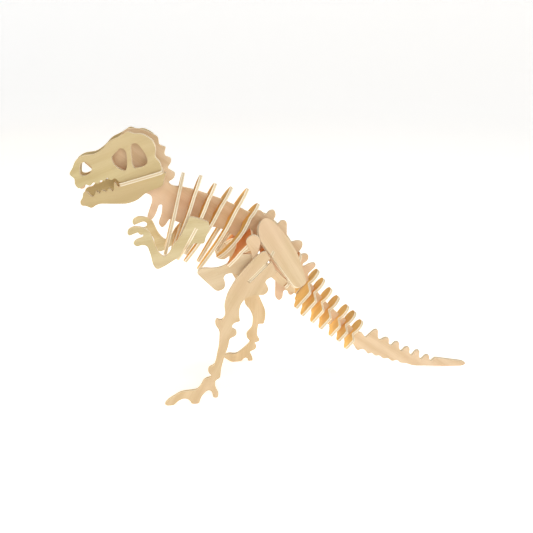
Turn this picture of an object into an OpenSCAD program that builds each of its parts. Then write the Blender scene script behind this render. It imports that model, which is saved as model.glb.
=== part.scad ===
// Skeleton of a two-legged dinosaur, built from slotted plywood pieces.
// The animal faces -X and stands on Z = 0, with its spine board in the plane Y = 0.
// Left is the animal's own left, which is -Y.

/* [Plywood] */
// Thickness of the plywood sheet that every piece is cut from
ply = 3; // [2.8:0.1:3.2]
// Total play between a slot and the piece that sits in it
play = 0.1; // [0.05:0.05:0.2]
/* [Head] */
// Slope of the mouth line
head_pitch = 17; // [16:1:18]
// Angle by which each cheek plate opens away from the middle
cheek_angle = 8; // [7:1:9]
// Distance from the middle to the cheek plates at the snout
snout_reach = 3.8; // [3.6:0.1:5]
/* [Limbs] */
// Distance from the middle to the arm plates
arm_reach = 23; // [22.5:0.1:23]
// Distance from the middle to the leg plates
leg_reach = 37.5; // [37:0.5:39]
// Distance from the middle to the pubis plates
pubis_reach = 30; // [29:0.5:31]
/* [Hips] */
// Lean of the cross plates that carry the hips
hip_pitch = 45; // [44:1:46]
// Slope of the two roof plates over the hips
roof_tilt = 41; // [40:1:42]
// Distance from the middle to the rails below the roof plates
rail_reach = 33.5; // [33:0.1:33.6]
/* [Tail] */
// Lean of the tail cross plates
tail_lean = 40; // [39:1:41]
/* [Hidden] */

left = -1;
right = 1;
slot = ply + play;
// Length of a cut that runs out past the edge of a piece
past = 60;
// Curve steps at a rounded corner
corner_steps = 3;
// Largest share of a side that one rounded corner takes
corner_share = 0.48;

// Head frame: middle of the mouth line, and the places along it
head_x = -160;
head_z = 216.5;
cheek_front = -34;
palate_front = 5;
palate_back = 46;
palate_stop = 26;
palate_lip = 2.2;
skull_tab = [46, 60];
jaw_tab = [65, 78];

// Hip frame: a point on the spine, and the places of the cross plates along it
hip_x = -12.5;
hip_z = 160;
front_plate_at = -23;
rear_plate_at = 0;
sacral_plate_at = 30.5;
front_stop = -18;
rear_stop = -10;
sacral_stop = -4;
rail_stop = -22.5;
leg_slot_bottom = -43;
// How far past the middle of a leg plate the rear hip plate's end reaches
hip_end = 0.5;
pubis_slot_bottom = -46;
// Where each roof plate's upper edge lies, sideways and up in the hip frame, how far down
// its slope the rear plate's hook reaches, and the length of that hook
roof_y = 8;
roof_h = 7;
roof_hook = 29.7;
hook_length = 6;

// Ribs: spike tip x and z, lean, depth of the spine's top edge below the tip,
// reach to the side, whole length, and reach of the lower tips
RIBS = [
    [-98, 225, 15.6, 13, 18, 78, 11],
    [-82, 222, 22.5, 14.5, 20, 80, 10],
    [-69, 214, 29.2, 11.5, 24.5, 80, 10],
    [-54, 210, 34.4, 15, 20.5, 83, 10],
    [-39, 208, 33.5, 18, 20, 90, 10],
    [-29, 193, 39.8, 11, 24, 64, 9]];
arm_rib = 2;
// Depth of the slots where a rib sits on the spine board
rib_bite = 7;
// Depth below the spike tip at which the arms rest on their rib
arm_stop = 40;
// How much lower the right hand hangs
right_hand_drop = 5;

// Tail plates: spike tip x and z, half width and depth of the lower block
TAILS = [
    [31, 122, 22, 23],
    [37, 112, 21, 22],
    [45, 101, 21, 18.5],
    [53, 91.5, 19.5, 17],
    [63.5, 80.5, 17.5, 16],
    [71.5, 73, 17, 15],
    [79.5, 62, 15.5, 14]];
// Depth below the spike tip at which a tail plate rests on the board
tail_stop = 17.5;

// Outlines are lists of [x, y] corners. A third number is the most that the corner is
// cut back by its rounding, and 0 leaves it sharp.
function unit(v) = v / norm(v);
function corner_cut(a, b, c, wish) = min(wish, corner_share * min(norm(a - b), norm(c - b)));
function corner_curve(a, b, c, cut) =
    let (start = b + cut * unit(a - b), end = b + cut * unit(c - b))
    [for (k = [0:corner_steps])
        let (t = k / corner_steps)
        (1 - t) * (1 - t) * start + 2 * t * (1 - t) * b + t * t * end];
function outline(corners, soft = 4) =
    let (n = len(corners), p = [for (c = corners) [c.x, c.y]])
    [for (i = [0:n - 1])
        let (before = p[(i + n - 1) % n], after = p[(i + 1) % n])
        let (wish = len(corners[i]) == 3 ? corners[i].z : soft)
        each wish > 0
            ? corner_curve(before, p[i], after, corner_cut(before, p[i], after, wish))
            : [p[i]]];
// The right half of a cross plate, from top to bottom, with its mirror image
function both_sides(half) =
    let (n = len(half))
    concat(half, [for (i = [n - 1:-1:0]) [-half[i].x, half[i].y, half[i].z]]);

// A piece that stands along the spine, drawn in X and Z
module board(corners, y = 0, thick = ply) {
    translate([0, y, 0])
        rotate([90, 0, 0])
            linear_extrude(thick, center = true) polygon(outline(corners));
}
// A piece that stands across the spine, drawn in Y and height
module cross_plate(corners, soft = 4) {
    rotate([90, 0, 90])
        linear_extrude(ply, center = true) polygon(outline(corners, soft));
}
// A frame at x and z that leans back by an angle
module leaning(x, z, lean) {
    translate([x, 0, z]) rotate([0, lean, 0]) children();
}
// A cut across the thickness of a board, from height low to high in a leaning frame
module board_slot(low, high) {
    translate([-slot / 2, -past, low]) cube([slot, 2 * past, high - low]);
}
// A cut in a cross plate for a board at y, from height low to high
module plate_slot(y, low, high) {
    translate([-past / 2, y - slot / 2, low]) cube([past, slot, high - low]);
}

module head_frame() {
    leaning(head_x, head_z, -head_pitch) children();
}
module hip_frame(along = 0) {
    leaning(hip_x, hip_z, hip_pitch) translate([along, 0, 0]) children();
}
module rib_frame(i) {
    leaning(RIBS[i][0], RIBS[i][1], RIBS[i][2]) children();
}
module tail_frame(i) {
    leaning(TAILS[i][0], TAILS[i][1], tail_lean) children();
}

// Spine board: cranium, neck, back and tail in one piece
SPINE_HEAD = [
    [-193, 218], [-192, 213], [-187, 213], [-186, 219], [-176, 221], [-163, 223], [-157, 222, 2],
    [-153, 215, 2], [-146, 211], [-134, 207.5], [-128, 205], [-128, 199], [-131, 192],
    [-134, 184], [-130, 181], [-126, 186], [-122, 196], [-119, 196], [-120, 187],
    [-124, 178], [-121, 173], [-117, 176], [-113, 183]];
SPINE_BELLY = [
    [-106, 178], [-90, 176], [-75, 173], [-64, 170], [-55, 164], [-46, 157], [-36, 150],
    [-26, 142], [-17, 132], [-12.5, 120], [-13, 95], [-9, 91], [-5.5, 94], [-5, 102],
    [-1, 103], [1, 97], [5, 97], [8, 106], [13, 109]];
SPINE_TAIL = [
    [19, 99], [27, 88], [35, 78], [46, 67], [54, 60], [62, 49], [70, 37], [76, 27], [80, 29],
    [84, 28], [88, 22], [92, 24], [96, 19], [101, 20], [105, 15], [111, 16], [115, 11],
    [121, 13], [125, 8.5], [131, 8], [140, 4], [155, 3], [175, 1], [190, 0, 1], [197, 0, 2],
    [200.5, 2.5, 2], [197, 5.5], [168, 11.5], [164, 12.5], [160, 8], [157.5, 10], [157, 16],
    [153, 16.5], [148, 10.5], [145.5, 15], [145.5, 23], [141, 23], [137, 16.5], [134, 20],
    [134, 27.5], [129, 28], [125, 22], [122, 27], [121.5, 35], [117, 35], [113, 30],
    [110, 33], [110, 40.5], [105, 41], [100, 37.5], [97.5, 42], [97, 51.5], [93, 51],
    [88, 46], [84, 42], [82, 45], [80, 48.5], [75, 49]];
SPINE_BACK = [
    [69, 54.5], [61, 65.5], [53, 72.5], [42, 83.5], [34, 93.5], [26, 104.5], [20, 114],
    [20, 120], [24.5, 123.5], [27.5, 127], [27.5, 130.5], [22, 130.5], [15, 126.5], [14, 130],
    [20, 134], [20, 140], [15, 141], [10, 138], [8, 141], [13.5, 147], [14, 154], [8, 155],
    [2, 153], [-2, 160], [-2, 167], [-2, 175], [-7, 176.5], [-12, 171], [-18, 173],
    [-12.5, 181], [-14, 187], [-19, 186.5], [-23, 181], [-26, 186.5], [-32, 187], [-38, 185]];
SPINE_NECK = [
    [-50, 192], [-64, 199], [-76, 204], [-89, 209], [-102, 212.5], [-109, 213],
    [-113, 217], [-107, 220], [-105, 225], [-113, 230], [-109, 234], [-108, 239],
    [-114, 241], [-114, 245], [-112, 249], [-119, 251], [-118, 258], [-128, 263.5],
    [-136, 266], [-146, 266], [-154, 258], [-164, 249], [-176, 242], [-183, 242],
    [-186, 238], [-180, 232], [-175, 227], [-188, 223]];
module spine_board() {
    color("burlywood") difference() {
        board(concat(SPINE_HEAD, SPINE_BELLY, SPINE_TAIL, SPINE_BACK, SPINE_NECK));
        head_frame()
            translate([palate_stop - past, -past / 2, -slot / 2]) cube([past, past, slot]);
        for (i = [0:len(RIBS) - 1])
            rib_frame(i) board_slot(-RIBS[i][3] - rib_bite, past);
        for (i = [0:len(TAILS) - 1])
            tail_frame(i) board_slot(-tail_stop, past);
        for (along = [[front_plate_at, front_stop], [rear_plate_at, rear_stop]])
            hip_frame(along[0]) board_slot(-past, along[1]);
        hip_frame(sacral_plate_at) board_slot(sacral_stop, past);
    }
}

// A cheek plate's own frame: along the plate, with its thickness sideways
module cheek_frame(side) {
    head_frame()
        translate([cheek_front, side * snout_reach, 0]) rotate([0, 0, side * cheek_angle]) children();
}
// The slot in the palate for the tab of a cheek plate
module cheek_slot(side, tab) {
    translate([cheek_front, side * snout_reach, 0])
        rotate([0, 0, side * cheek_angle])
            translate([tab[0] - play / 2, -slot / 2, -ply])
                cube([tab[1] - tab[0] + play, slot, 2 * ply]);
}
function palate_half_width(along) =
    snout_reach + (along - cheek_front) * tan(cheek_angle) + ply / 2 + palate_lip;
module palate_plate() {
    narrow = palate_half_width(palate_front);
    wide = palate_half_width(palate_back);
    color("wheat") head_frame() difference() {
        linear_extrude(ply, center = true)
            polygon(outline([[palate_front, -narrow], [palate_back, -wide],
                [palate_back, wide], [palate_front, narrow]]));
        translate([palate_stop, -slot / 2, -ply]) cube([past, slot, 2 * ply]);
        for (side = [left, right]) {
            cheek_slot(side, skull_tab);
            cheek_slot(side, jaw_tab);
        }
    }
}

SKULL = [
    [0, 22], [6, 26], [11, 32], [19, 34], [29, 31.5], [39, 34.5], [46, 39], [57, 40],
    [65, 42.5], [69, 38.5], [76, 37], [83, 29], [83, 21], [79, 14.5], [82, 9], [81, 1.5, 1]];
SKULL_TEETH = [
    [41, 1.5, 2], [38.5, 7.5], [34.5, 5.5], [31.5, 10], [28.5, 6.5], [25.5, 9.5], [22, 5.5],
    [18.5, 9.5], [14.5, 6], [11, 9.5], [7.5, 7.5], [3, 7], [1.5, 12], [4, 16.5]];
NOSTRIL = [[9, 18], [13, 27], [19, 29], [23, 22], [20, 17.5], [14, 16]];
EYE = [[54, 31], [57.5, 27], [54.5, 17], [50, 9], [42.5, 16], [41.5, 25]];
TEMPLE = [[63, 31], [69, 31], [73, 19], [72, 12], [68, 9.5], [58, 10], [57.5, 14]];
module skull_plate(side) {
    tab = [[skull_tab[1], ply / 2, 0], [skull_tab[1], -ply / 2, 0],
        [skull_tab[0], -ply / 2, 0], [skull_tab[0], ply / 2, 0]];
    color("burlywood") cheek_frame(side) difference() {
        board(concat(SKULL, tab, SKULL_TEETH));
        for (hole = [NOSTRIL, EYE, TEMPLE])
            board(hole, thick = 2 * ply);
    }
}
JAW = [
    [84, -1.5, 1], [80, -6], [77, -12], [60, -13.5], [50, -18], [40, -18.5], [28, -15], [17, -11.5],
    [12, -11.5], [7, -13.5], [3, -9.5], [-1, -8.5], [-0.5, -4], [3, -2], [6, 3]];
JAW_LEFT_TOP = [
    [9, 2.5], [11, -3.5], [14.5, -3], [17, 1.5], [20, -3.5], [22.5, 1], [26, -3.5],
    [29.5, 0.5], [31.5, -4], [33.5, -3], [36.5, 5]];
JAW_RIGHT_TOP = [
    [9, 4], [13, 3], [17.5, 6], [21.5, 3], [25, 6.5], [28.5, 4], [31.5, 7.5], [34.5, 4],
    [36.5, 5]];
module jaw_plate(side, top) {
    tab = [[38, -ply / 2, 1], [jaw_tab[0], -ply / 2, 0], [jaw_tab[0], ply / 2, 0],
        [jaw_tab[1], ply / 2, 0], [jaw_tab[1], -ply / 2, 0]];
    color("wheat") cheek_frame(side) board(concat(JAW, top, tab));
}

// Half of a rib, from its spike down the outside and up the inside of one arm
function rib_half(top, reach, length, tip) =
    let (down = length - top, arm = 9, throat = slot / 2)
    [[0.7, 0, 0.5],
        [6, -top * 0.35, 4],
        [9, -top * 0.8, 4],
        [9, -top - 3, 4],
        [reach * 0.65, -top - 0.14 * down, 4],
        [reach * 0.9, -top - 0.27 * down, 4],
        [reach, -top - 0.38 * down, 2],
        [reach, -top - 0.62 * down, 6],
        [reach * 0.85, -top - 0.8 * down, 6],
        [tip + 2.5, -length, 2],
        [tip - 2.5, -length, 2],
        [reach * 0.85 - arm, -top - 0.78 * down, 6],
        [reach - arm, -top - 0.6 * down, 6],
        [reach - arm, -top - 0.42 * down, 4],
        [reach * 0.6 - 2, -top - 0.3 * down, 4],
        [throat, -top - 0.22 * down, 0],
        [throat, -top - rib_bite, 0]];
module rib(i) {
    spec = RIBS[i];
    color("navajowhite") rib_frame(i) difference() {
        cross_plate(both_sides(rib_half(spec[3], spec[4], spec[5], spec[6])));
        if (i == arm_rib)
            for (side = [left, right])
                plate_slot(side * arm_reach, -arm_stop, 0);
    }
}

HAND = [
    [-133.5, 164], [-138, 165.5], [-143, 163.5], [-146.5, 167], [-143, 170.5], [-137, 172],
    [-136, 176], [-139, 178], [-145, 176], [-149.5, 174], [-150.5, 179.5], [-145, 183],
    [-137, 182], [-131.5, 179], [-127.5, 168]];
ARM = [
    [-125, 158], [-119.5, 152], [-114, 156], [-111, 163], [-103, 172], [-98, 182],
    [-94, 190.5, 1.5], [-88, 189], [-77, 184.5, 2], [-76.5, 179], [-80, 172], [-82, 164, 2],
    [-93, 165], [-98, 158], [-104, 153], [-112, 148], [-119, 143.5], [-127, 140],
    [-130, 146], [-131, 155]];
// An arm, with its hand bent down by hand_drop
module arm(side, hand_drop) {
    color("wheat") difference() {
        board(concat(ARM, [for (p = HAND) [p.x, p.y - hand_drop]]), side * arm_reach);
        rib_frame(arm_rib) board_slot(-2 * past, -arm_stop);
    }
}

// The line of the hip cross plates' shoulders, just under a roof plate
function shoulder(v) = [
    roof_y + v * cos(roof_tilt) - ply / 2 * sin(roof_tilt),
    roof_h - v * sin(roof_tilt) - ply / 2 * cos(roof_tilt), 0];
module hip_plate_front() {
    color("sandybrown") hip_frame(front_plate_at) difference() {
        cross_plate(both_sides([
            [10, -11, 4], [28, -12, 3], [31.5, -18, 3], [31.5, -30, 2],
            [pubis_reach + 3.5, -34, 2],
            [pubis_reach + 3.5, pubis_slot_bottom + play, 2],
            [pubis_reach - ply / 2 - 1, pubis_slot_bottom + play, 3],
            [23, -37, 5], [13, -31, 5], [4, -30, 5]]));
        plate_slot(0, front_stop, past);
    }
}
// A hip cross plate whose shoulders carry the roof plates and the rails
module hip_cross(along, half, spine_low, spine_high) {
    color("sandybrown") hip_frame(along) difference() {
        union() {
            cross_plate(both_sides(half));
            children();
        }
        plate_slot(0, spine_low, spine_high);
        for (side = [left, right])
            plate_slot(side * rail_reach, rail_stop, roof_h);
    }
}
// A roof plate's frame: along the spine, then down its slope, with its top outward
module roof_place(side) {
    translate([0, side * roof_y, roof_h])
        mirror([0, side == left ? 1 : 0, 0]) rotate([-roof_tilt, 0, 0]) children();
}
module hip_plate_rear() {
    hip_cross(rear_plate_at, [
        [5, 5.5, 1], shoulder(0), shoulder(roof_hook), [31.6, -18, 2],
        [leg_reach + hip_end, -19, 2],
        [leg_reach + hip_end, leg_slot_bottom + play, 0],
        [leg_reach - ply / 2 - 1, leg_slot_bottom + play, 3],
        [32, -36, 5], [22, -28, 5], [12, -22, 5], [4, -21, 5]], rear_stop, past)
        for (side = [left, right])
            roof_place(side)
                translate([-ply / 2, roof_hook - hook_length, -ply / 2 - play])
                    cube([ply, hook_length, ply + play]);
}
module sacral_plate() {
    hip_cross(sacral_plate_at, [
        [5, 4, 1], shoulder(8), shoulder(33), [37, -21, 1], [37, -25, 3], [20, -21, 5],
        [5, -17, 5]], -past, sacral_stop);
}
RAIL = [
    [-29.5, -13], [-28, -7.5], [-23, -5.5], [-18, -8], [-14.5, -14], [-12, -18.5, 1],
    [38, -18.5, 2], [42, -21], [36, -26], [10, -26], [-12, -26], [-18, -20],
    [-24, -19], [-28.5, -17]];
module pelvis_rail(side) {
    color("wheat") hip_frame() difference() {
        board(RAIL, side * rail_reach);
        for (along = [rear_plate_at, sacral_plate_at])
            translate([along, 0, 0]) board_slot(-past, rail_stop);
    }
}
ROOF = [
    [-22, 20, 3], [-26, 12], [-25, 2], [-18, -3], [-4, -2], [12, 1.5], [24, 6.5], [36, 16],
    [46, 25, 4], [42, 35, 4], [36, 39, 3], [23, 35.5], [12, 32.5], [-3, 29], [-17, 25, 3]];
module ilium(side) {
    color("burlywood") hip_frame() roof_place(side) difference() {
        linear_extrude(ply, center = true) polygon(outline(ROOF));
        translate([rear_plate_at - slot / 2, roof_hook - hook_length - play, -ply])
            cube([slot, past, 2 * ply]);
    }
}
PUBIS_LEFT = [
    [-91, 139], [-84, 131], [-72, 118], [-65, 121], [-64, 126], [-66, 132], [-63, 136],
    [-57, 136.5], [-50, 133.5], [-45, 133.5], [-37, 142], [-33, 149], [-37, 154],
    [-45, 155], [-53, 155], [-57, 149], [-66, 143], [-76, 141.5], [-84, 143]];
PUBIS_RIGHT = [
    [-72, 138], [-69, 128], [-62, 126], [-56, 131], [-45, 133.5], [-37, 142], [-33, 149],
    [-37, 154], [-45, 155], [-53, 155], [-58, 149], [-66, 145]];
module pubis(side, corners) {
    color("tan") difference() {
        board(corners, side * pubis_reach);
        hip_frame(front_plate_at) board_slot(pubis_slot_bottom, past);
    }
}

// Both legs have the same hip. The left stands on its toe and ball, the right on ball and heel
HIP = [
    [-17, 134.5, 3], [-18, 142], [-22, 150], [-27, 160.5], [-36, 154], [-51, 137.5]];
LEG_LEFT_FRONT = [
    [-57, 129], [-63, 118], [-66, 107], [-65, 96], [-69, 91], [-74, 94], [-75.5, 88],
    [-71, 81], [-72, 66], [-75, 51], [-77, 43], [-83, 41], [-84, 36], [-79, 30],
    [-88, 28], [-91, 21], [-95, 16], [-103, 15.5], [-111, 15], [-118, 10.5], [-124, 7],
    [-128, 2], [-125, 0, 1], [-119, 0, 2], [-114, 5], [-108, 7.5], [-103, 5],
    [-101, 0, 2], [-94, 0, 2], [-91, 9], [-85, 15], [-81, 14], [-79.5, 5.5, 2], [-75, 5.5, 2]];
LEG_LEFT_BACK = [
    [-74, 10], [-77.5, 18], [-77, 26], [-72, 28], [-71, 38], [-68, 50], [-63, 64],
    [-62, 72], [-55.5, 74], [-54.5, 79.5], [-60, 82.5], [-58, 88], [-51.5, 89.5, 1],
    [-52.5, 98], [-51, 107], [-45.5, 114], [-38, 116.5], [-28, 115.5], [-23.5, 121],
    [-28, 129], [-24, 133]];
LEG_RIGHT_FRONT = [
    [-56, 128], [-57, 114], [-51, 102], [-44, 90], [-41, 79], [-41, 71], [-35, 64],
    [-32, 54], [-33, 42], [-40, 35], [-39, 29], [-35, 25], [-40, 19], [-51, 9.5],
    [-61, 11.5], [-66, 7], [-61, 3], [-57, 0, 2], [-46, 0, 2], [-42, 4.5], [-39, 4],
    [-38, 0, 1], [-33, 0, 1]];
LEG_RIGHT_BACK = [
    [-33, 4], [-37, 12], [-30, 14], [-28, 19], [-32, 22.5], [-24, 25], [-28, 31],
    [-27.5, 39], [-26.5, 46, 1], [-20.5, 46, 1], [-18.5, 54], [-18.5, 62], [-22, 71],
    [-26, 81], [-32, 92], [-31, 105], [-25, 116], [-23.5, 122], [-28, 129], [-24, 133]];
module leg(side, lower) {
    color("burlywood") difference() {
        board(concat(HIP, lower), side * leg_reach);
        hip_frame(rear_plate_at) board_slot(leg_slot_bottom, past);
    }
}

// Half of a tail plate: rounded spike above, block below, open slot in the middle
function tail_half(wide, deep) = [
    [3.5, 0, 3],
    [7, -5, 4],
    [7, -tail_stop + 6, 4],
    [4.5, -tail_stop + 1, 2],
    [wide, -tail_stop - 1, 2],
    [wide, -tail_stop - deep, 2.5],
    [wide * 0.7, -tail_stop - deep, 3],
    [wide * 0.35, -tail_stop - deep * 0.75, 3],
    [slot / 2, -tail_stop - deep * 0.72, 0],
    [slot / 2, -tail_stop, 0]];
module tail_plate(i) {
    color("goldenrod") tail_frame(i) cross_plate(both_sides(tail_half(TAILS[i][2], TAILS[i][3])));
}

spine_board();
palate_plate();
skull_plate(left);  // skull_plate_left
skull_plate(right);  // skull_plate_right
jaw_plate(left, JAW_LEFT_TOP);  // jaw_plate_left
jaw_plate(right, JAW_RIGHT_TOP);  // jaw_plate_right
rib(0);  // rib_1
rib(1);  // rib_2
rib(2);  // rib_3
rib(3);  // rib_4
rib(4);  // rib_5
rib(5);  // rib_6
arm(left, 0);  // arm_left
arm(right, right_hand_drop);  // arm_right
hip_plate_front();
hip_plate_rear();
sacral_plate();
pelvis_rail(left);  // pelvis_rail_left
pelvis_rail(right);  // pelvis_rail_right
ilium(left);  // ilium_left
ilium(right);  // ilium_right
pubis(left, PUBIS_LEFT);  // pubis_left
pubis(right, PUBIS_RIGHT);  // pubis_right
leg(left, concat(LEG_LEFT_FRONT, LEG_LEFT_BACK));  // leg_left
leg(right, concat(LEG_RIGHT_FRONT, LEG_RIGHT_BACK));  // leg_right
tail_plate(0);  // tail_plate_1
tail_plate(1);  // tail_plate_2
tail_plate(2);  // tail_plate_3
tail_plate(3);  // tail_plate_4
tail_plate(4);  // tail_plate_5
tail_plate(5);  // tail_plate_6
tail_plate(6);  // tail_plate_7
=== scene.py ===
"""Looks for a plywood dinosaur skeleton: bare ply on every plate, soft studio light, pale floor."""
import bpy
import math
import numpy as np
from mathutils import Matrix, Vector

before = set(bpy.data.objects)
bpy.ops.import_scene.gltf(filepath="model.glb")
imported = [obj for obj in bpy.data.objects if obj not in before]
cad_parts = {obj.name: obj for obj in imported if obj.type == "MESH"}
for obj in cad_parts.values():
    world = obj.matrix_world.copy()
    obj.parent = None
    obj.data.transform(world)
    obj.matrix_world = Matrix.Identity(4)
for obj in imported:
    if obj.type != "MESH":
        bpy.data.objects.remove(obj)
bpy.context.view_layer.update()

MM = 0.001

# Camera: lens, sensor and place in millimetres, tilt and turn in degrees
LENS = 40.5
SENSOR = 36.0
CAMERA_AT = (-85.9, -545.0, 353.9)
CAMERA_TILT = 67.67
CAMERA_TURN = -6.73

# Light from all round
WORLD_LIGHT = 0.17
WORLD_COLOUR = (1.0, 0.985, 0.96)
# Area lights: name, place and width in metres, power in watts, colour
LIGHTS = [
    ("key", (0.2, -1.4, 0.8), 1.0, 6.8, (1.0, 0.985, 0.96)),
    ("top", (0.5, -0.1, 1.5), 0.4, 8.5, (1.0, 0.99, 0.97)),
    ("golden", (-1.3, 0.3, 0.7), 0.6, 9, (1.0, 0.72, 0.30))]
# The point that the area lights are turned to, in metres
LIGHT_AIM = (0, 0, 0.12)

# Floor: radius of the flat part and of the curve up to the backdrop, in metres, and mesh steps
FLOOR_RADIUS = 2.2
FLOOR_RISE = 1.6
FLOOR_RINGS = 14
FLOOR_STEPS = 96
# Its paper, and the glow that keeps it white
FLOOR_PAPER = (0.88, 0.88, 0.875)
FLOOR_ROUGH = 0.9
FLOOR_GLOW = 0.56

# Wood colours (linear) for the faces, the cut edges and the glue lines
FACE_LIGHT = (0.71, 0.575, 0.375)
FACE_DARK = (0.60, 0.455, 0.262)
FACE_ROSE = (0.70, 0.515, 0.355)
EDGE_LIGHT = (0.88, 0.80, 0.63)
EDGE_CORE = (0.70, 0.55, 0.34)
GLUE = (0.33, 0.19, 0.09)
FLECK = (0.36, 0.20, 0.09)
# Each sheet's own cast over the face colours, by the first word of the piece's name; the golden and
# orange casts of the rib, hip, sacral and tail plates are painted shade, the tone of faces that lie
# in shadow
SHEET_TONE_AND_PAINTED_SHADE = {
    "skull": (0.82, 0.85, 0.70), "jaw": (0.80, 0.80, 0.62), "palate": (1.0, 0.95, 0.85),
    "spine": (1.04, 0.98, 1.0), "rib": (1.25, 0.98, 0.42), "arm": (0.98, 1.03, 0.93),
    "leg": (1.02, 0.98, 0.93), "pubis": (1.06, 1.05, 1.08), "ilium": (1.06, 1.02, 1.0),
    "pelvis": (1.05, 1.0, 0.98), "hip": (1.15, 0.60, 0.30), "sacral": (1.15, 0.75, 0.45),
    "tail": (1.22, 1.02, 0.55)}
# Warm painted shade where plates stand close together, and how near they have to be
SHADE = (0.95, 0.42, 0.10)
SHADE_REACH = 16 * MM
SHADE_AMOUNT = 0.95
SHADE_SAMPLES = 8
# Openness at which that tone has gone
SHADE_END = 0.4

# Texture scales, per metre
FIGURE_SCALE = 22.0
GRAIN_SCALE = 850.0
CLOUD_SCALE = 24.0
ROSE_SCALE = 11.0
PORE_SCALE = 2600.0
CELL_SCALE = 1900.0
STAIN_SCALE = 38.0
WANDER_SCALE = 90.0
# How far the figure's bands bend
FIGURE_BEND = 7.0
# Texture squeeze along the grain, across it and through the plate
GRAIN_SQUEEZE = (0.06, 1.0, 0.3)
PORE_SQUEEZE = (0.13, 1.0, 0.4)
# Shares of figure, grain and clouds in a face's tone, and the tones that are fully dark and light
FIGURE_SHARE = 0.25
GRAIN_SHARE = 0.55
CLOUD_SHARE = 0.5
TONE_LIMITS = (0.38, 0.98)
# Where each marking starts and is full, and how strongly it shows
ROSE_LIMITS = (0.48, 0.72)
ROSE_AMOUNT = 0.55
PORE_LIMITS = (0.66, 0.78)
PORE_AMOUNT = 0.35
CELL_LIMITS = (0.45, 0.75)
CELL_AMOUNT = 0.3
STAIN_LIMITS = (0.52, 0.75)
STAIN_AMOUNT = 0.35
GLUE_AMOUNT = 0.6
# Height that pores and glue lines take away from the surface, and that end grain adds
PORE_DEPTH = 0.8
GLUE_DEPTH = 0.6
CELL_HEIGHT = 0.8
# Distances from the middle of the sheet: where the core ends, and the glue line
CORE_END = (0.48 * MM, 0.56 * MM)
GLUE_AT = 0.55 * MM
# Half width of a glue line, fully dark and faded out, and how far the layers wander
GLUE_HALF = (0.02 * MM, 0.09 * MM)
LAYER_WANDER = 0.25 * MM
# How squarely a surface faces out of the plate: a cut edge below, a face above
FACE_LIMITS = (0.75, 0.9)

# Differences from plate to plate: texture shift in metres, figure phase, brightness step
PLATE_SHIFT = (0.37, 0.23, 0.11)
PHASE_STEP = 1.7
TINT_STEP = 0.03

# Relief, and roughness where the surface is low and high
BUMP_STRENGTH = 0.25
BUMP_DEPTH = 0.12 * MM
ROUGH_LOW = 0.72
ROUGH_HIGH = 0.5

# The sanded arris: width, mesh steps, and the largest turn that it leaves alone, in degrees
ARRIS = 0.22 * MM
ARRIS_STEPS = 2
ARRIS_ANGLE = 50


# ---------------------------------------------------------------- camera, floor and light

def make_camera():
    data = bpy.data.cameras.new("camera")
    data.lens = LENS
    data.sensor_width = SENSOR
    camera = bpy.data.objects.new("camera", data)
    camera.location = [v * MM for v in CAMERA_AT]
    camera.rotation_euler = (math.radians(CAMERA_TILT), 0, math.radians(CAMERA_TURN))
    bpy.context.collection.objects.link(camera)
    bpy.context.scene.camera = camera


def floor_material():
    material = bpy.data.materials.new("floor_paper")
    material.use_nodes = True
    shader = material.node_tree.nodes["Principled BSDF"]
    shader.inputs["Base Color"].default_value = (*FLOOR_PAPER, 1)
    shader.inputs["Roughness"].default_value = FLOOR_ROUGH
    shader.inputs["Emission Color"].default_value = (1, 1, 1, 1)
    shader.inputs["Emission Strength"].default_value = FLOOR_GLOW
    return material


def make_floor():
    """A pale floor that curves up into a backdrop on every side."""
    profile = [(FLOOR_RADIUS, 0.0)]
    for k in range(1, FLOOR_RINGS + 1):
        a = math.radians(90) * k / FLOOR_RINGS
        profile.append((FLOOR_RADIUS + FLOOR_RISE * math.sin(a), FLOOR_RISE * (1 - math.cos(a))))
    verts = [(0, 0, 0)]
    for r, z in profile:
        for s in range(FLOOR_STEPS):
            t = 2 * math.pi * s / FLOOR_STEPS
            verts.append((r * math.cos(t), r * math.sin(t), z))
    faces = [(0, 1 + s, 1 + (s + 1) % FLOOR_STEPS) for s in range(FLOOR_STEPS)]
    for ring in range(len(profile) - 1):
        for s in range(FLOOR_STEPS):
            a = 1 + ring * FLOOR_STEPS + s
            b = 1 + ring * FLOOR_STEPS + (s + 1) % FLOOR_STEPS
            faces.append((a, a + FLOOR_STEPS, b + FLOOR_STEPS, b))
    mesh = bpy.data.meshes.new("floor")
    mesh.from_pydata(verts, [], faces)
    mesh.polygons.foreach_set("use_smooth", [True] * len(faces))
    floor = bpy.data.objects.new("floor", mesh)
    bpy.context.collection.objects.link(floor)
    mesh.materials.append(floor_material())


def area_light(name, at, size, power, colour):
    data = bpy.data.lights.new(name, "AREA")
    data.shape = "DISK"
    data.size = size
    data.energy = power
    data.color = colour
    light = bpy.data.objects.new(name, data)
    light.location = at
    aim = Vector(LIGHT_AIM) - Vector(at)
    light.rotation_euler = aim.to_track_quat("-Z", "Y").to_euler()
    bpy.context.collection.objects.link(light)


def make_light():
    """White light from the front and above, and a golden one from ahead of the animal's face."""
    world = bpy.data.worlds.new("studio")
    world.use_nodes = True
    background = world.node_tree.nodes["Background"]
    background.inputs["Color"].default_value = (*WORLD_COLOUR, 1)
    background.inputs["Strength"].default_value = WORLD_LIGHT
    bpy.context.scene.world = world
    for light in LIGHTS:
        area_light(*light)


# ---------------------------------------------------------------- plywood

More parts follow.
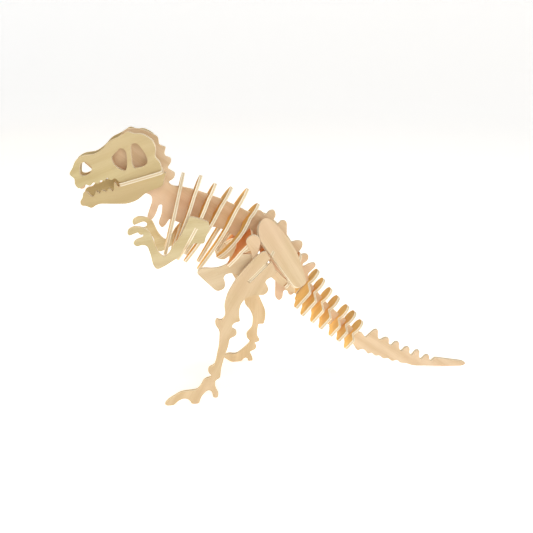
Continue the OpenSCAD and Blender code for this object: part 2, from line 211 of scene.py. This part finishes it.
class Nodes:
    """A thin helper that adds linked shader nodes to one tree."""

    def __init__(self, tree):
        self.tree = tree

    def add(self, kind, inputs=None, **settings):
        node = self.tree.nodes.new(kind)
        for key, value in settings.items():
            setattr(node, key, value)
        for key, value in (inputs or {}).items():
            if isinstance(value, bpy.types.NodeSocket):
                self.tree.links.new(value, node.inputs[key])
            else:
                node.inputs[key].default_value = value
        return node

    def math(self, operation, a, b=0.0):
        return self.add("ShaderNodeMath", {0: a, 1: b}, operation=operation).outputs[0]

    def vector(self, operation, a, b):
        return self.add("ShaderNodeVectorMath", {0: a, 1: b}, operation=operation).outputs[0]

    def mix(self, factor, a, b, blend="MIX"):
        """Colour a at factor 0 and b at factor 1. The node's colour sockets are 6, 7 and out 2."""
        node = self.add("ShaderNodeMix", data_type="RGBA", blend_type=blend)
        for index, value in ((0, factor), (6, a), (7, b)):
            if isinstance(value, bpy.types.NodeSocket):
                self.tree.links.new(value, node.inputs[index])
            elif index == 0:
                node.inputs[index].default_value = value
            else:
                node.inputs[index].default_value = (*value, 1)
        return node.outputs[2]

    def noise(self, vector, scale, detail=2.0, rough=0.55, distortion=0.0):
        return self.add("ShaderNodeTexNoise", {
            "Vector": vector, "Scale": scale, "Detail": detail,
            "Roughness": rough, "Distortion": distortion}).outputs["Fac"]

    def step(self, value, limits, smooth=True):
        """0 below the first limit, 1 above the second."""
        kind = "SMOOTHSTEP" if smooth else "LINEAR"
        return self.add("ShaderNodeMapRange", {
            "Value": value, "From Min": limits[0], "From Max": limits[1]},
            interpolation_type=kind).outputs["Result"]

    def scaled_step(self, value, limits, amount):
        return self.math("MULTIPLY", self.step(value, limits), amount)


def plate_axes(mesh):
    """Rotation from the row frame to the plate (grain, across, thickness), and the plate's middle."""
    count = len(mesh.polygons)
    areas = np.empty(count)
    normals = np.empty(count * 3)
    mesh.polygons.foreach_get("area", areas)
    mesh.polygons.foreach_get("normal", normals)
    normals = normals.reshape(-1, 3)
    keys = [tuple(np.round(n if n[np.argmax(np.abs(n))] > 0 else -n, 2)) for n in normals]
    total = {}
    for key, area in zip(keys, areas):
        total[key] = total.get(key, 0) + area
    thick = Vector(max(total, key=total.get)).normalized()
    points = np.empty(len(mesh.vertices) * 3)
    mesh.vertices.foreach_get("co", points)
    points = points.reshape(-1, 3)
    middle = (points.min(0) + points.max(0)) / 2
    spread = np.linalg.eigh(np.cov((points - middle).T))[1]
    grain = Vector(spread[:, 2])
    grain = (grain - thick * grain.dot(thick)).normalized()
    across = thick.cross(grain).normalized()
    return Matrix((grain, across, thick)), Vector(middle)


def ply_face(n, place, shift):
    """Rotary-cut basswood face: broad figure, fine grain lines, pores and a rosy cast in places."""
    stretched = n.vector("MULTIPLY", place, GRAIN_SQUEEZE)
    figure = n.add("ShaderNodeTexWave", {
        "Vector": stretched, "Scale": FIGURE_SCALE, "Distortion": FIGURE_BEND, "Detail": 2.0,
        "Detail Scale": 1.4, "Phase Offset": shift},
        wave_type="BANDS", bands_direction="Y").outputs["Fac"]
    grain = n.noise(stretched, GRAIN_SCALE, 4.0, 0.6)
    clouds = n.noise(place, CLOUD_SCALE, rough=0.5, distortion=0.6)
    rose = n.noise(place, ROSE_SCALE, rough=0.5, distortion=0.3)
    pores = n.noise(n.vector("MULTIPLY", place, PORE_SQUEEZE), PORE_SCALE, rough=0.5)
    clouded_grain = n.math("ADD", n.math("MULTIPLY", grain, GRAIN_SHARE),
                           n.math("MULTIPLY", clouds, CLOUD_SHARE))
    tone = n.math("ADD", n.math("MULTIPLY", figure, FIGURE_SHARE), clouded_grain)
    colour = n.mix(n.step(tone, TONE_LIMITS), FACE_DARK, FACE_LIGHT)
    colour = n.mix(n.scaled_step(rose, ROSE_LIMITS, ROSE_AMOUNT), colour, FACE_ROSE)
    colour = n.mix(n.scaled_step(pores, PORE_LIMITS, PORE_AMOUNT), colour, FLECK)
    height = n.math("SUBTRACT", grain, n.math("MULTIPLY", pores, PORE_DEPTH))
    return colour, height


def ply_edge(n, place, thickness, shift):
    """Cut edge: cream outer plies, a darker end-grain core, and two thin glue lines."""
    swing = n.math("SUBTRACT", n.noise(place, WANDER_SCALE), 0.5)
    off = n.math("ADD", n.math("ABSOLUTE", thickness), n.math("MULTIPLY", swing, LAYER_WANDER))
    core = n.math("SUBTRACT", 1.0, n.step(off, CORE_END))
    from_glue = n.math("ABSOLUTE", n.math("SUBTRACT", off, GLUE_AT))
    glue = n.math("SUBTRACT", 1.0, n.step(from_glue, GLUE_HALF))
    cells = n.noise(place, CELL_SCALE, rough=0.6)
    stain = n.noise(place, STAIN_SCALE + shift, rough=0.5)
    colour = n.mix(core, EDGE_LIGHT, EDGE_CORE)
    colour = n.mix(n.scaled_step(cells, CELL_LIMITS, CELL_AMOUNT), colour, FACE_DARK)
    colour = n.mix(n.scaled_step(stain, STAIN_LIMITS, STAIN_AMOUNT), colour, FACE_DARK)
    colour = n.mix(n.math("MULTIPLY", glue, GLUE_AMOUNT), colour, GLUE)
    height = n.math("SUBTRACT", n.math("MULTIPLY", cells, CELL_HEIGHT),
                    n.math("MULTIPLY", glue, GLUE_DEPTH))
    return colour, height


def warm_shade(n, colour):
    """The colour with warm painted shade put in where other plates stand close."""
    open_sky = n.add("ShaderNodeAmbientOcclusion", {"Distance": SHADE_REACH},
                     samples=SHADE_SAMPLES).outputs["AO"]
    enclosed = n.math("SUBTRACT", 1.0, n.step(open_sky, (0.0, SHADE_END)))
    return n.mix(n.math("MULTIPLY", enclosed, SHADE_AMOUNT), colour, SHADE, blend="MULTIPLY")


def plywood(name, mesh, index):
    """The ply of one plate, with its grain along the plate and its layers across the cut edges."""
    turn, middle = plate_axes(mesh)
    material = bpy.data.materials.new("ply_" + name)
    material.use_nodes = True
    n = Nodes(material.node_tree)
    shader = material.node_tree.nodes["Principled BSDF"]
    coords = n.add("ShaderNodeTexCoord")
    local = n.vector("SUBTRACT", coords.outputs["Object"], tuple(middle))
    rotation = tuple(turn.to_euler())
    place = n.add("ShaderNodeMapping", {"Vector": local, "Rotation": rotation}).outputs[0]
    thickness = n.add("ShaderNodeSeparateXYZ", {0: place}).outputs["Z"]
    moved = n.vector("ADD", place, tuple(v * index for v in PLATE_SHIFT))
    facing = n.add("ShaderNodeMapping", {
        "Vector": coords.outputs["Normal"], "Rotation": rotation}, vector_type="NORMAL").outputs[0]
    flat = n.math("ABSOLUTE", n.add("ShaderNodeSeparateXYZ", {0: facing}).outputs["Z"])
    on_face = n.step(flat, FACE_LIMITS, smooth=False)

    face_colour, face_height = ply_face(n, moved, index * PHASE_STEP)
    # Each sheet's tone, with painted shade for the rib, hip, sacral and tail plates
    face_colour = n.mix(1.0, face_colour, SHEET_TONE_AND_PAINTED_SHADE[name.split("_")[0]], blend="MULTIPLY")
    edge_colour, edge_height = ply_edge(n, moved, thickness, index % 5)
    # Painted warm shade darkens the colour where other plates stand close
    colour = warm_shade(n, n.mix(on_face, edge_colour, face_colour))
    # One of five brightnesses, from two steps darker to two steps lighter
    brightness = 1 + TINT_STEP * ((index * 7) % 5 - 2)
    colour = n.add("ShaderNodeHueSaturation", {
        "Hue": 0.5, "Saturation": 1.0, "Value": brightness, "Color": colour}).outputs[0]
    height = n.add("ShaderNodeMix", {0: on_face, 2: edge_height, 3: face_height}).outputs[0]
    bump = n.add("ShaderNodeBump", {
        "Strength": BUMP_STRENGTH, "Distance": BUMP_DEPTH, "Height": height})
    rough = n.add("ShaderNodeMapRange", {
        "Value": height, "From Min": 0.0, "From Max": 1.0,
        "To Min": ROUGH_LOW, "To Max": ROUGH_HIGH}).outputs[0]
    links = material.node_tree.links
    links.new(colour, shader.inputs["Base Color"])
    links.new(rough, shader.inputs["Roughness"])
    links.new(bump.outputs[0], shader.inputs["Normal"])
    return material


def soften_edges(piece):
    """The lightly sanded arris round every cut edge."""
    bevel = piece.modifiers.new("sanded", "BEVEL")
    bevel.width = ARRIS
    bevel.segments = ARRIS_STEPS
    bevel.limit_method = "ANGLE"
    bevel.angle_limit = math.radians(ARRIS_ANGLE)
    bevel.use_clamp_overlap = True


def finish_plates():
    for index, (name, piece) in enumerate(sorted(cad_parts.items())):
        material = plywood(name, piece.data, index)
        if not piece.material_slots:
            piece.data.materials.append(material)
        for place in piece.material_slots:
            place.material = material
        soften_edges(piece)


make_camera()
make_floor()
make_light()
finish_plates()
bpy.context.scene.view_settings.view_transform = "Standard"
